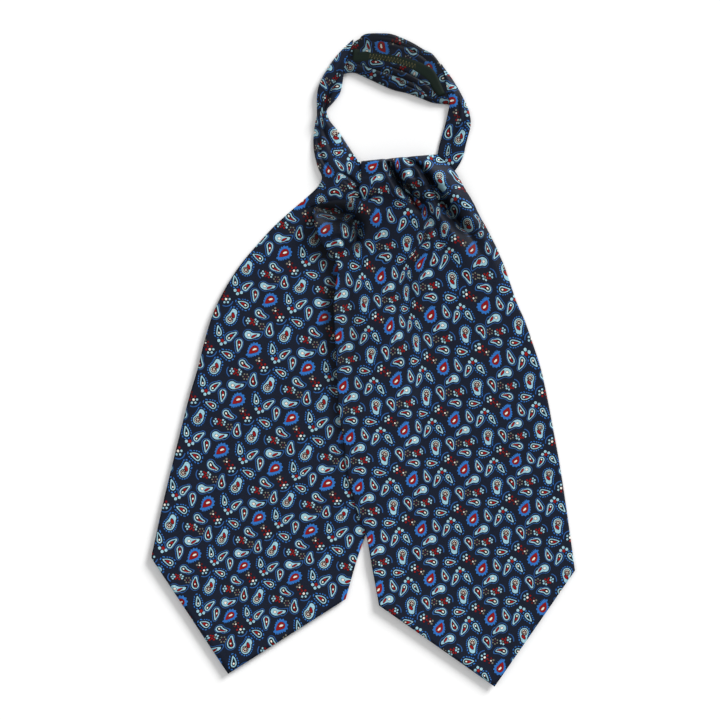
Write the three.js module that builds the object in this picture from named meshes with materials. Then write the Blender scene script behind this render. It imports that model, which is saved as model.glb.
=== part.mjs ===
// A silk day cravat (ascot) lying flat, tied in a loose loop for the neck.
// Millimetres, Z up: the table is z = 0, +Y runs up towards the neck loop, +X to the wearer's left blade.
// The origin is the middle of the box that the whole cravat fills, on the table.
import * as THREE from "three";

// Cloth thicknesses: a blade is interlined silk, the neck band is the same silk in pressed pleats.
const bladeWall = 1.5;
const bandWall = 2;
const labelWall = 0.8;
const layerGap = 0.3;

// Heights of the middle of each layer above the table.
const bladeRest = bladeWall / 2;
const bandRest = bandWall / 2;
const overBlade = bladeWall + layerGap + bladeWall / 2;

// Past the hidden edge of the lower blade the upper one lies level for stepStart, then slopes down within stepRun.
const stepStart = 12;
const stepRun = 12;
const lowerBladeTop = 145;

// How quickly a layer rises from its edges to its middle: 1 is a straight slope, more is a rounder shoulder.
const shoulder = 2.2;

// A fold never takes more than this share of the height that the cloth has there.
const deepestFold = 0.4;

// The bundle of cloth inside the knot.
const knot = {
  x: 34, y: 136.5, halfWidth: 31, halfDepth: 18, turn: -0.06, bottom: bandWall + layerGap, height: 9.5, slope: 0.1,
};

// Each row crosses the cloth from its left edge (lx, ly) to its right edge (rx, ry).
// left, mid and right are the heights of the two edges and the middle above the layer's rest.
// bow pushes the middle of a row along the cloth in a curve, and point pushes it out to a corner.
// cuts is the number of mesh rows from this row to the next.

// The lower blade, from the end of the band under the knot to its pointed end. It lies flat on the table.
const backBladeRows = [
  { lx: 20, ly: 145, rx: 49, ry: 139.5 },
  { lx: -6, ly: 143.5, rx: 37, ry: 138.5 },
  { lx: -31.5, ly: 139, rx: 25.5, ry: 139 },
  { lx: -41.5, ly: 132, rx: 29.5, ry: 128 },
  { lx: -51, ly: 124.5, rx: 31, ry: 116 },
  { lx: -68.5, ly: 109, rx: 32.5, ry: 100 },
  { lx: -85.5, ly: 91, rx: 33.5, ry: 78.5 },
  { lx: -98.5, ly: 75, rx: 33.5, ry: 56 },
  { lx: -111.5, ly: 53.5, rx: 32, ry: 32 },
  { lx: -119.5, ly: 36.5, rx: 30.5, ry: 12 },
  { lx: -126.5, ly: 15, rx: 28, ry: -9.5 },
  { lx: -132, ly: -6.5, rx: 25.5, ry: -30.5 },
  { lx: -138.5, ly: -30.5, rx: 21.5, ry: -56 },
  { lx: -143.5, ly: -48, rx: 18.5, ry: -76 },
  { lx: -151.5, ly: -81, rx: 12.5, ry: -102.5, point: 6 },
  { lx: -159, ly: -112, rx: 3.5, ry: -134.5, point: 22 },
  { lx: -164.5, ly: -136, rx: -5, ry: -161.5, point: 46 },
  { lx: -169.5, ly: -158, rx: -14, ry: -191, point: 78 },
];

// The upper blade: its first rows are tucked under the knot, then it rolls up over the top and falls forward.
const frontBladeRows = [
  { lx: 3, ly: 147, rx: 46, ry: 151, left: 0, mid: 0, right: 0 },
  { lx: 2.5, ly: 152, rx: 51, ry: 156.5, left: 0, mid: 0, right: 0, cuts: 2 },
  { lx: 0.5, ly: 155.5, rx: 56, ry: 160.5, left: 1, mid: 1.8, right: 0.6, cuts: 2 },
  { lx: -1, ly: 157.5, rx: 58.5, ry: 163.5, left: 6.5, mid: 9, right: 3, cuts: 2 },
  { lx: -1.5, ly: 156.2, rx: 61.5, ry: 160.5, left: 11, mid: 14.5, right: 4.6, cuts: 2 },
  { lx: -1.5, ly: 153, rx: 66.5, ry: 157, left: 12.3, mid: 17.5, right: 6, cuts: 2 },
  { lx: -1.5, ly: 145.5, rx: 72.5, ry: 150.5, left: 12.5, mid: 18.5, right: 7 },
  { lx: -3, ly: 137, rx: 78, ry: 141.5, left: 12, mid: 17.5, right: 6.5 },
  { lx: -3.5, ly: 129, rx: 82.5, ry: 133.5, left: 11, mid: 16, right: 6 },
  { lx: -4, ly: 125, rx: 84.5, ry: 130.5, left: 7, mid: 15.2, right: 5.5 },
  { lx: -10.5, ly: 123.5, rx: 86.5, ry: 127, left: 2.5, mid: 14.2, right: 5.2 },
  { lx: -20, ly: 123, rx: 88.5, ry: 123.5, left: 1.2, mid: 13, right: 5 },
  { lx: -33, ly: 122, rx: 90.5, ry: 119, left: 2, mid: 11.8, right: 4.6 },
  { lx: -39.5, ly: 119, rx: 92.5, ry: 115, left: 5, mid: 10.6, right: 4.2 },
  { lx: -39, ly: 113.5, rx: 96.5, ry: 108, left: 5.5, mid: 8.8, right: 3.4 },
  { lx: -37.5, ly: 104, rx: 102.5, ry: 97.5, left: 5.5, mid: 6.6, right: 2.6 },
  { lx: -34, ly: 94.5, rx: 106.5, ry: 89, left: 5, mid: 5.2, right: 2 },
  { lx: -28, ly: 86.5, rx: 109, ry: 82.5, left: 3.6, mid: 4.2, right: 1.6 },
  { lx: -21, ly: 77, rx: 112, ry: 76, left: 2.8, mid: 3.3, right: 1.2 },
  { lx: -22, ly: 60, rx: 117, ry: 61.5, left: 3.2, mid: 1.9, right: 0.6 },
  { lx: -23.5, ly: 44, rx: 122.5, ry: 45.5, left: 4, mid: 0.9, right: 0.2 },
  { lx: -23, ly: 28, rx: 128.5, ry: 32, left: 4, mid: 0.4, right: 0 },
  { lx: -22, ly: 12, rx: 134.5, ry: 15, left: 3.4, mid: 0.1, right: 0 },
  { lx: -21, ly: -12, rx: 141, ry: -5, left: 2.2, mid: 0, right: 0 },
  { lx: -19.5, ly: -38.5, rx: 146.5, ry: -29, left: 1.2, mid: 0, right: 0 },
  { lx: -15.5, ly: -67, rx: 151, ry: -53, left: 0.6, mid: 0, right: 0 },
  { lx: -11, ly: -98.5, rx: 156, ry: -78.5, left: 0.2, mid: 0, right: 0 },
  { lx: -5.5, ly: -118.5, rx: 159, ry: -97, left: 0, mid: 0, right: 0, point: 12 },
  { lx: 1.5, ly: -136, rx: 162, ry: -115, left: 0, mid: 0, right: 0, point: 32 },
  { lx: 7, ly: -165, rx: 165.5, ry: -141.5, left: 0, mid: 0, right: 0, point: 56 },
  { lx: 12.5, ly: -196, rx: 169.5, ry: -168, left: 0, mid: 0, right: 0, point: 80 },
];

// The neck band from the left corner fold down across the lower blade, with a pinch near its top.
const leftBandRows = [
  { lx: -34.5, ly: 218.5, rx: -7.5, ry: 255, left: 0.1, mid: 0.1, right: 0.1, bow: -3 },
  { lx: -35, ly: 217, rx: -8.5, ry: 252.5, left: 2.2, mid: 2.4, right: 2.2, bow: -3 },
  { lx: -35.5, ly: 213.5, rx: -11.5, ry: 245.5, left: 2.4, mid: 3.2, right: 2.4, bow: -2 },
  { lx: -36, ly: 209.5, rx: -15, ry: 233.5, left: 2.4, mid: 3.4, right: 2.4 },
  { lx: -36, ly: 205, rx: -17, ry: 221, left: 1.6, mid: 3.4, right: 2 },
  { lx: -36, ly: 201, rx: -19.5, ry: 212, left: 1, mid: 3.8, right: 1.5 },
  { lx: -36, ly: 198.5, rx: -26, ry: 204.5, left: 1, mid: 4.8, right: 1.5 },
  { lx: -36, ly: 195, rx: -29.5, ry: 199, left: 1.4, mid: 5.4, right: 2 },
  { lx: -37, ly: 191, rx: -28, ry: 193, left: 1, mid: 4.6, right: 1.2 },
  { lx: -38, ly: 185, rx: -21, ry: 183, left: 0.4, mid: 3, right: 0.6 },
  { lx: -39, ly: 174.5, rx: -13, ry: 171, left: 0, mid: 2.4, right: 1.4 },
  { lx: -38, ly: 164, rx: -7, ry: 161.5, left: 0.2, mid: 4.4, right: 4.5 },
  { lx: -36, ly: 156, rx: -3, ry: 155.5, left: 0.6, mid: 6.6, right: 7 },
  { lx: -33.5, ly: 147, rx: -0.5, ry: 147, left: 1.9, mid: 8.4, right: 8.6 },
  { lx: -31, ly: 140.5, rx: -0.5, ry: 137.5, left: 1.9, mid: 8.6, right: 9 },
  { lx: -32, ly: 131, rx: -3.5, ry: 130.5, left: 1.9, mid: 7.4, right: 8.6 },
  { lx: -31.5, ly: 125.5, rx: -6.5, ry: 126, left: 2.2, mid: 6.2, right: 7.4 },
];

// The back of the neck band, inner side up, from the left corner fold to the right one.
const backBandRows = [
  { lx: -4.5, ly: 254, rx: -30, ry: 220.5 },
  { lx: -1.5, ly: 257, rx: -23.5, ry: 224.5 },
  { lx: 2.5, ly: 259.5, rx: -15.5, ry: 228.5 },
  { lx: 8, ly: 260.5, rx: -7.5, ry: 229 },
  { lx: 14.5, ly: 260.5, rx: 2, ry: 225.5 },
  { lx: 21.5, ly: 260, rx: 12.5, ry: 221 },
  { lx: 31, ly: 257, rx: 24, ry: 216.5 },
  { lx: 40, ly: 253, rx: 35, ry: 213.5 },
  { lx: 48, ly: 248, rx: 44.5, ry: 210.5 },
  { lx: 54, ly: 244, rx: 54.5, ry: 207 },
  { lx: 58, ly: 239, rx: 63, ry: 205 },
  { lx: 59.5, ly: 234.5, rx: 70, ry: 203.5 },
  { lx: 60.5, ly: 231.5, rx: 75.5, ry: 202 },
  { lx: 61, ly: 229.5, rx: 79.5, ry: 200.5 },
];

// The neck band from the right corner fold down to where it goes under the knot.
const rightBandRows = [
  { lx: 62.5, ly: 235, rx: 83.5, ry: 198, left: 0.1, mid: 0.1, right: 0.1, bow: -2 },
  { lx: 62.5, ly: 233.5, rx: 84, ry: 196.5, left: 2.2, mid: 2.4, right: 2.2, bow: -2 },
  { lx: 64, ly: 229.5, rx: 84.5, ry: 193, left: 2.4, mid: 3.2, right: 2.4 },
  { lx: 67, ly: 219, rx: 85, ry: 189, left: 2.4, mid: 3.4, right: 2.4 },
  { lx: 69.5, ly: 204.5, rx: 84.5, ry: 184, left: 2.4, mid: 3.2, right: 1.4 },
  { lx: 68.5, ly: 198, rx: 82.5, ry: 178.5, left: 1.2, mid: 2.4, right: 0.4 },
  { lx: 66.5, ly: 190, rx: 80.5, ry: 170.5, left: 0.4, mid: 1.4, right: 0 },
  { lx: 64, ly: 180.5, rx: 78.5, ry: 164, left: 0, mid: 1, right: 0 },
  { lx: 61.5, ly: 172.5, rx: 76.5, ry: 159, left: 0, mid: 0.6, right: 0 },
  { lx: 60.5, ly: 165.5, rx: 73, ry: 153, left: 0, mid: 0, right: 0 },
  { lx: 58.5, ly: 158.5, rx: 69, ry: 148, left: 0, mid: 0, right: 0 },
  { lx: 54, ly: 151, rx: 64, ry: 143, left: 0, mid: 0, right: 0 },
];

// The sewn-on label strip, bare, in the middle of the back band.
const labelRows = [
  { lx: -7.5, ly: 248.5, rx: -8, ry: 237.5 },
  { lx: 8, ly: 247.5, rx: 6.5, ry: 237.5 },
  { lx: 27, ly: 245, rx: 26.5, ry: 234.5 },
  { lx: 44.5, ly: 239, rx: 42.5, ry: 229 },
  { lx: 56, ly: 232.5, rx: 52, ry: 222.5 },
  { lx: 62, ly: 221, rx: 57.5, ry: 216.5 },
];

// Gathers that run down from the top of the knot: soft troughs from (x0, y0) to (x1, y1).
const gathers = [
  { x0: 18.5, y0: 164, x1: 42, y1: 118, depth: 3.6, width: 6 },
  { x0: 43.5, y0: 162, x1: 87, y1: 97, depth: 3.8, width: 6 },
  { x0: 8, y0: 150, x1: 16, y1: 122, depth: 1.2, width: 8 },
  { x0: 58, y0: 158, x1: 74, y1: 126, depth: 1.6, width: 5 },
];

// Pressed pleats that show below the label, along the back band.
const bandPleats = [
  { x0: 4, y0: 233, x1: 36, y1: 224, depth: 0.6, width: 2.6 },
  { x0: 30, y0: 224, x1: 64, y1: 210, depth: 0.6, width: 2.6 },
];

// Pleats on the band where it crosses the lower blade.
const crossingPleats = [
  { x0: -34, y0: 178, x1: -22, y1: 140, depth: 1.4, width: 3.5 },
  { x0: -22, y0: 152, x1: -3, y1: 138, depth: 1.4, width: 3.5 },
];

const clamp01 = (t) => Math.min(1, Math.max(0, t));
const ease = (t) => clamp01(t) ** 2 * (3 - 2 * clamp01(t));

// How deep the troughs of a list are at a point of the plan.
function troughDepth(troughs, x, y) {
  let depth = 0;
  for (const g of troughs) {
    const [dx, dy] = [g.x1 - g.x0, g.y1 - g.y0];
    const length = Math.hypot(dx, dy);
    const along = ((x - g.x0) * dx + (y - g.y0) * dy) / length ** 2;
    const away = Math.abs((x - g.x0) * dy - (y - g.y0) * dx) / length;
    const fade = ease(along / 0.15) * ease((1 - along) / 0.5);
    depth += g.depth * fade * ease(1 - away / g.width);
  }
  return depth;
}

// A point of the middle surface of a cloth: t runs down the rows, v from the left edge to the right one.
function rowSplines(rows) {
  const spline = (pick) => new THREE.CatmullRomCurve3(rows.map(pick), false, "centripetal");
  return {
    left: spline((r) => new THREE.Vector3(r.lx, r.ly, r.left ?? 0)),
    right: spline((r) => new THREE.Vector3(r.rx, r.ry, r.right ?? 0)),
    middle: rows.map((r) => ({ mid: r.mid ?? 0, bow: r.bow ?? 0, point: r.point ?? 0 })),
  };
}

function surfacePoint(splines, t, v, rest, troughs) {
  const left = splines.left.getPoint(t);
  const right = splines.right.getPoint(t);
  const place = t * (splines.middle.length - 1);
  const before = splines.middle[Math.floor(place)];
  const after = splines.middle[Math.min(Math.ceil(place), splines.middle.length - 1)];
  const mix = (name) => THREE.MathUtils.lerp(before[name], after[name], place % 1);
  const across = right.clone().sub(left).setZ(0).normalize();
  const push = mix("point") * (1 - Math.abs(2 * v - 1)) + mix("bow") * 4 * v * (1 - v);
  const x = THREE.MathUtils.lerp(left.x, right.x, v) + across.y * push;
  const y = THREE.MathUtils.lerp(left.y, right.y, v) - across.x * push;
  const edge = v < 0.5 ? left.z : right.z;
  const rise = 1 - Math.abs(2 * v - 1) ** shoulder;
  const lift = Math.max(0, THREE.MathUtils.lerp(edge, mix("mid"), rise));
  const z = rest(x, y) + lift - Math.min(troughDepth(troughs, x, y), lift * deepestFold);
  return new THREE.Vector3(x, y, z);
}

// Closes a grid of upper points over a grid of lower points into one solid.
function solidFromGrids(upper, lower) {
  const [rows, columns] = [upper.length, upper[0].length];
  const positions = [...upper.flat(), ...lower.flat()].flatMap((p) => [p.x, p.y, p.z]);
  const top = (i, j) => i * columns + j;
  const under = (i, j) => rows * columns + i * columns + j;
  const faces = [];
  const quad = (a, b, c, d) => faces.push(a, b, c, a, c, d);
  for (let i = 0; i < rows - 1; i++) {
    for (let j = 0; j < columns - 1; j++) {
      quad(top(i, j), top(i + 1, j), top(i + 1, j + 1), top(i, j + 1));
      quad(under(i, j), under(i, j + 1), under(i + 1, j + 1), under(i + 1, j));
    }
    const last = columns - 1;
    quad(top(i, 0), under(i, 0), under(i + 1, 0), top(i + 1, 0));
    quad(top(i, last), top(i + 1, last), under(i + 1, last), under(i, last));
  }
  for (let j = 0; j < columns - 1; j++) {
    const last = rows - 1;
    quad(top(0, j), top(0, j + 1), under(0, j + 1), under(0, j));
    quad(top(last, j), under(last, j), under(last, j + 1), top(last, j + 1));
  }
  const geometry = new THREE.BufferGeometry();
  geometry.setAttribute("position", new THREE.Float32BufferAttribute(positions, 3));
  geometry.setIndex(faces);
  geometry.computeVertexNormals();
  return geometry;
}

// A cloth of even thickness through its rows.
function cloth({ rows, columns, wall, rest, troughs = [] }) {
  const splines = rowSplines(rows);
  const places = [];
  rows.slice(0, -1).forEach((row, i) => {
    const cuts = row.cuts ?? 1;
    for (let k = 0; k < cuts; k++) places.push((i + k / cuts) / (rows.length - 1));
  });
  places.push(1);
  const grid = places.map((t) =>
    Array.from({ length: columns + 1 }, (_, j) => surfacePoint(splines, t, j / columns, rest, troughs)),
  );
  const clampIndex = (k, count) => Math.min(Math.max(k, 0), count - 1);
  const at = (i, j) => grid[clampIndex(i, grid.length)][clampIndex(j, columns + 1)];
  const offset = (side) =>
    grid.map((line, i) =>
      line.map((p, j) => {
        const down = at(i + 1, j).clone().sub(at(i - 1, j));
        const across = at(i, j + 1).clone().sub(at(i, j - 1));
        const normal = down.cross(across).normalize();
        return p.clone().addScaledVector(normal, (side * wall) / 2);
      }),
    );
  return solidFromGrids(offset(1), offset(-1));
}

// The rounded bundle of hidden layers inside the knot, flat underneath.
function knotBundle({ x, y, halfWidth, halfDepth, turn, bottom, height, slope }) {
  const [rings, spokes, thinEdge] = [8, 28, 1.2];
  const layer = (isTop) =>
    Array.from({ length: rings + 1 }, (_, i) =>
      Array.from({ length: spokes + 1 }, (_, j) => {
        const [u, w] = [(2 * i) / rings - 1, (2 * j) / spokes - 1];
        const [px, py] = [w * Math.sqrt(1 - u * u / 2) * halfWidth, -u * Math.sqrt(1 - w * w / 2) * halfDepth];
        const dome = Math.sqrt(Math.max(0, (1 - u * u) * (1 - w * w)));
        const z = bottom + (isTop ? thinEdge + height * dome * (1 - slope * w) : 0);
        return new THREE.Vector3(
          x + px * Math.cos(turn) - py * Math.sin(turn), y + px * Math.sin(turn) + py * Math.cos(turn), z,
        );
      }),
    );
  return solidFromGrids(layer(true), layer(false));
}

// The right edge of the lower blade, where the upper blade steps down to the table.
const backBladeEdge = rowSplines(backBladeRows).right;
function lowerBladeEdgeX(y) {
  const points = backBladeEdge.getPoints(60);
  const next = points.findIndex((p) => p.y < y);
  return next < 0 ? points.at(-1).x : points[next].x;
}

// What the upper blade rests on: the lower blade on the left, the table on the right.
function upperBladeRest(x, y) {
  if (y > lowerBladeTop) return bladeRest;
  const onBlade = ease((lowerBladeEdgeX(y) + stepStart + stepRun - x) / stepRun);
  return THREE.MathUtils.lerp(bladeRest, overBlade, onBlade);
}

const cravat = new THREE.Group();

function addPiece(name, geometry, color, roughness) {
  const material = new THREE.MeshStandardMaterial({ color, roughness, metalness: 0 });
  const mesh = new THREE.Mesh(geometry, material);
  mesh.name = name;
  cravat.add(mesh);
}

const navySilk = 0x262a38;
const shadedSilk = 0x1b2127;
const greenSatin = 0x1f2e22;

addPiece(
  "back_blade",
  cloth({ rows: backBladeRows, columns: 14, wall: bladeWall, rest: () => bladeRest }),
  navySilk, 0.5,
);
addPiece(
  "front_blade",
  cloth({
    rows: frontBladeRows, columns: 28, wall: bladeWall, rest: upperBladeRest, troughs: gathers,
  }),
  navySilk, 0.5,
);
addPiece(
  "band_left",
  cloth({ rows: leftBandRows, columns: 12, wall: bandWall, rest: () => bandRest, troughs: crossingPleats }),
  navySilk, 0.5,
);
addPiece(
  "band_back",
  cloth({ rows: backBandRows, columns: 12, wall: bandWall, rest: () => bandRest }),
  shadedSilk, 0.55,
);
addPiece(
  "band_right",
  cloth({ rows: rightBandRows, columns: 10, wall: bandWall, rest: () => bandRest }),
  navySilk, 0.5,
);
addPiece("knot_core", knotBundle(knot), shadedSilk, 0.6);
addPiece(
  "label",
  cloth({
    rows: labelRows, columns: 2, wall: labelWall, rest: () => bandWall + layerGap + labelWall / 2,
  }),
  greenSatin, 0.4,
);

export default cravat;
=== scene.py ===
# %% [markdown]
# # A silk day cravat, laid flat
# The real thing is two long doubled pieces of printed silk, joined at the back of the neck. The middle is
# pressed into pleats for the neck band, and each end opens into a wide pointed blade. Here it lies on a
# white table with its band tied in a loop, seen from straight above. The CAD frame gives every piece its
# size and place, and this lesson builds the cloth that shows, one stretch at a time, over that frame.

# %% Load the frame
import math

import bpy
import bmesh
from mathutils import Matrix, Vector


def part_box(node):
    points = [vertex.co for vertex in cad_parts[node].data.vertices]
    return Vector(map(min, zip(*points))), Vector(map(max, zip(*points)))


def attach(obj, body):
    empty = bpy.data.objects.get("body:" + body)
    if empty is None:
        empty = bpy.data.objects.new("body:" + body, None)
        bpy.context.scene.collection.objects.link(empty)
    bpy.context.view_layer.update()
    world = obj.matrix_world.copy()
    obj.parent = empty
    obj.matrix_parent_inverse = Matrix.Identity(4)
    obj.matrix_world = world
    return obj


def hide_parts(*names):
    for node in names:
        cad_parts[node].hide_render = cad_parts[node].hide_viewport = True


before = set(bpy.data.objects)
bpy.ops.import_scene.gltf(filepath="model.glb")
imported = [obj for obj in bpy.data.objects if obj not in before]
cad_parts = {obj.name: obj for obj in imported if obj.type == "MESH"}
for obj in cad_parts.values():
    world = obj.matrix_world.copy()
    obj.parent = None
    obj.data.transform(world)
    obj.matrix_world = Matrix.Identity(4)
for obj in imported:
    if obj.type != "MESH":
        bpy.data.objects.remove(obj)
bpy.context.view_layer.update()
MM = 0.001
print("nodes:", sorted(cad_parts))

# %% [markdown]
# ## Camera, table and light
# The photograph looks straight down, so the camera hangs over the table and its field of view is worked out
# from the width of table that the picture shows. The light is a soft studio one: a bright white surround, a
# broad key lamp from the upper right, which is why the soft shadows fall to the left and below, and a faint
# fill lamp from the left.

# %% Camera
PICTURE_WIDTH = 576 * MM
PICTURE_CENTRE_X = -2.5 * MM
CAMERA_HEIGHT = 2.6


def add_object(name, data):
    """Puts a new object with this data into the scene."""
    made = bpy.data.objects.new(name, data)
    bpy.context.scene.collection.objects.link(made)
    return made


camera_data = bpy.data.cameras.new("camera")
camera_data.angle = 2 * math.atan(PICTURE_WIDTH / 2 / CAMERA_HEIGHT)
camera = add_object("camera", camera_data)
camera.location = (PICTURE_CENTRE_X, 0, CAMERA_HEIGHT)
bpy.context.scene.camera = camera
bpy.context.scene.view_settings.view_transform = "Standard"
print("field of view:", round(math.degrees(camera_data.angle), 2), "degrees")

# %% Table and lights
TABLE_SIZE = 8
LAMP_DISTANCE = 2


def add_mesh(name, bm):
    """Turns a finished bmesh into an object of the scene."""
    mesh = bpy.data.meshes.new(name)
    bm.to_mesh(mesh)
    bm.free()
    return add_object(name, mesh)


def add_plane(name, size):
    bm = bmesh.new()
    bmesh.ops.create_grid(bm, x_segments=1, y_segments=1, size=size / 2)
    return add_mesh(name, bm)


def new_material(name, settings):
    """A material with its shader, set as told."""
    material = bpy.data.materials.new(name)
    material.use_nodes = True
    shader = material.node_tree.nodes["Principled BSDF"]
    for setting, value in settings.items():
        shader.inputs[setting].default_value = value
    return material, shader


def add_sun(name, azimuth, elevation, strength, softness):
    """A lamp so far off that it lights the whole table evenly. Softness is its width in degrees."""
    data = bpy.data.lights.new(name, "SUN")
    data.energy = strength
    data.angle = math.radians(softness)
    lamp = add_object(name, data)
    around, up = math.radians(azimuth), math.radians(elevation)
    flat = math.cos(up)
    towards = Vector((flat * math.cos(around), flat * math.sin(around), math.sin(up)))
    lamp.location = towards * LAMP_DISTANCE
    lamp.rotation_euler = towards.to_track_quat("Z", "Y").to_euler()


table = add_plane("table", TABLE_SIZE)
table_paint, _ = new_material("white table", {
    "Base Color": (0.9, 0.9, 0.9, 1), "Roughness": 0.9, "Specular IOR Level": 0.1,
})
table.data.materials.append(table_paint)

add_sun("key lamp", azimuth=46, elevation=27, strength=3.7, softness=24)
add_sun("fill lamp", azimuth=165, elevation=60, strength=0.35, softness=30)

world = bpy.data.worlds.new("studio surround")
world.use_nodes = True
surround = world.node_tree.nodes["Background"].inputs
surround["Color"].default_value = (1, 1, 1, 1)
surround["Strength"].default_value = 0.53
bpy.context.scene.world = world
print("lamps and table are in place")

# %% [markdown]
# ## How a stretch of cloth is described
# Each stretch is a table with a row for each cross section. A row runs from the left edge of the cloth to
# its right edge, seen from above, and says how high the two edges and the middle stand. A smooth curve
# through the rows gives the whole surface. Folds are short tables of their own: a line over the cloth with
# a depth, a width, a ridge beside it and the amount of cloth that the fold hides, because a print
# disappears into a crease.

# %% Tables and curves


def table_of(columns, rows):
    """Rows of numbers with a name for each column. A row may leave out the zeros at its end."""
    names = columns.split()
    return [{**dict.fromkeys(names, 0), **dict(zip(names, row))} for row in rows]


def ease(t):
    t = min(1.0, max(0.0, t))
    return t * t * (3 - 2 * t)


def lerp(a, b, t):
    return a + (b - a) * t


class Rows:
    """Smooth curves through every column of a table."""

    def __init__(self, rows):
        self.rows = rows
        self.names = sorted(rows[0])
        middles = [
            Vector(((r["lx"] + r["rx"]) / 2, (r["ly"] + r["ry"]) / 2, r.get("mid", 0))) for r in rows
        ]
        self.knots = [0.0]
        for a, b in zip(middles, middles[1:]):
            self.knots.append(self.knots[-1] + max((b - a).length, 0.5))

    def slope(self, name, i):
        last = len(self.rows) - 1
        if i == 0 or i == last:
            j = min(i, last - 1)
            run = self.knots[j + 1] - self.knots[j]
            return (self.rows[j + 1][name] - self.rows[j][name]) / run
        before = self.knots[i] - self.knots[i - 1]
        after = self.knots[i + 1] - self.knots[i]
        rise_before = (self.rows[i][name] - self.rows[i - 1][name]) / before
        rise_after = (self.rows[i + 1][name] - self.rows[i][name]) / after
        return (rise_before * after + rise_after * before) / (before + after)

    def at(self, distance):
        """Every column at this distance along the cloth."""
        i = 0
        while i < len(self.rows) - 2 and self.knots[i + 1] < distance:
            i += 1
        run = self.knots[i + 1] - self.knots[i]
        t = min(1.0, max(0.0, (distance - self.knots[i]) / run))
        result = {}
        for name in self.names:
            a, b = self.rows[i][name], self.rows[i + 1][name]
            if a == b and name not in ("lx", "ly", "rx", "ry"):
                result[name] = a
                continue
            ma, mb = self.slope(name, i) * run, self.slope(name, i + 1) * run
            result[name] = (
                (2 * t**3 - 3 * t**2 + 1) * a + (t**3 - 2 * t**2 + t) * ma
                + (3 * t**2 - 2 * t**3) * b + (t**3 - t**2) * mb
            )
        return result

    def places(self, step, fine_step, fine_rows):
        """Distances along the cloth, about one step apart and with every row. The first rows can be finer."""
        result = []
        for i, (a, b) in enumerate(zip(self.knots, self.knots[1:])):
            cuts = max(1, round((b - a) / (fine_step if i < fine_rows else step)))
            result += [lerp(a, b, k / cuts) for k in range(cuts)]
        return result + [self.knots[-1]]


# %% Folds
FOLD_COLUMNS = "x y depth width ridge hide"
FOLD_PIECES = 6
FOLD_SHARPNESS = 1.4
FOLD_REACH = 45.0

# Where a fold's ridge is, how wide the ridge and the shade are, and how fast the print slides in. All four
# count in widths of the fold.
RIDGE_AWAY = 1.9
RIDGE_SPREAD = 1.3
SHADE_SPREAD = 1.7
SLIDE_RATE = 1.3


def fold_path(rows):
    """A fold's table as a smooth line of closely spaced points."""
    points = table_of(FOLD_COLUMNS, rows)
    names = FOLD_COLUMNS.split()
    line = []
    for i in range(len(points) - 1):
        p = [points[max(i - 1, 0)], points[i], points[i + 1], points[min(i + 2, len(points) - 1)]]
        for k in range(FOLD_PIECES):
            t = k / FOLD_PIECES
            line.append({
                n: 0.5 * (
                    2 * p[1][n] + (p[2][n] - p[0][n]) * t
                    + (2 * p[0][n] - 5 * p[1][n] + 4 * p[2][n] - p[3][n]) * t**2
                    + (3 * p[1][n] - p[0][n] - 3 * p[2][n] + p[3][n]) * t**3
                )
                for n in names
            })
    return line + [points[-1]]


def fold_effect(line, x, y):
    """How much a fold raises the cloth here, how far it shifts the print, and how deep in shade it is."""
    if not (min(p["x"] for p in line) - FOLD_REACH < x < max(p["x"] for p in line) + FOLD_REACH):
        return 0.0, 0.0, 0.0, 0.0
    best = None
    for a, b in zip(line, line[1:]):
        dx, dy = b["x"] - a["x"], b["y"] - a["y"]
        length = math.hypot(dx, dy)
        along = ((x - a["x"]) * dx + (y - a["y"]) * dy) / length**2
        t = min(1.0, max(0.0, along))
        px, py = a["x"] + dx * t, a["y"] + dy * t
        away = math.hypot(x - px, y - py)
        if best is None or away < best[0]:
            side = ((x - a["x"]) * -dy + (y - a["y"]) * dx) / length
            best = (away, side, a, b, t, dx / length, dy / length)
    away, side, a, b, t, ux, uy = best
    depth, width = lerp(a["depth"], b["depth"], t), lerp(a["width"], b["width"], t)
    ridge, hide = lerp(a["ridge"], b["ridge"], t), lerp(a["hide"], b["hide"], t)
    signed = math.copysign(away, side)
    trough = depth * math.exp(-((away / width) ** FOLD_SHARPNESS))
    gloom = depth * math.exp(-((away / (SHADE_SPREAD * width)) ** 2))
    crest = ridge * math.exp(-(((signed + RIDGE_AWAY * width) / (RIDGE_SPREAD * width)) ** 2))
    slide = -0.5 * hide * math.tanh(SLIDE_RATE * signed / width) * math.exp(-((away / FOLD_REACH) ** 2))
    return crest - trough, slide * uy, -slide * ux, gloom


# %% [markdown]
# ## From a table to a mesh
# A grid is the natural start for cloth. `bmesh.ops.create_grid` makes one that is a unit wide and long, and
# every vertex is then moved to its place on the surface. The flat position of each vertex on the uncut
# cloth goes into a UV map, measured along the surface, so that the print keeps its real size where the
# cloth climbs over the knot. A Solidify modifier gives the cloth its thickness, thinner at the edges where
# only the seam is.

# %% Cloth builder
# The cross section: how square its shoulders are, how wide a rolled side is, how the edges dip and thin out,
# and how deep a hollow and how low the cloth may get. Lengths are in millimetres.
SHOULDER = 2.2
ROLL_WIDTH = 8.0
EDGE_WIDTH = 2.0
EDGE_DIP = 0.35
EDGE_SHARE = 0.35
DEEPEST = -0.1
LOWEST = 0.2

# How far a drift, a pull or a pin is felt, and how hard the print holds on to its own place.
DRIFT_REACH = 17.0
DRIFT_REST = 0.04
PULL_REACH = 7.5
PULL_REST = 0.15
PIN_REACH = 4.8
PIN_REST = 0.02
PIN_FADED = 1e-5
# How much a higher point is preferred when the cloth lies over itself under a pin.
UPPER_SIDE = 0.1


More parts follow.
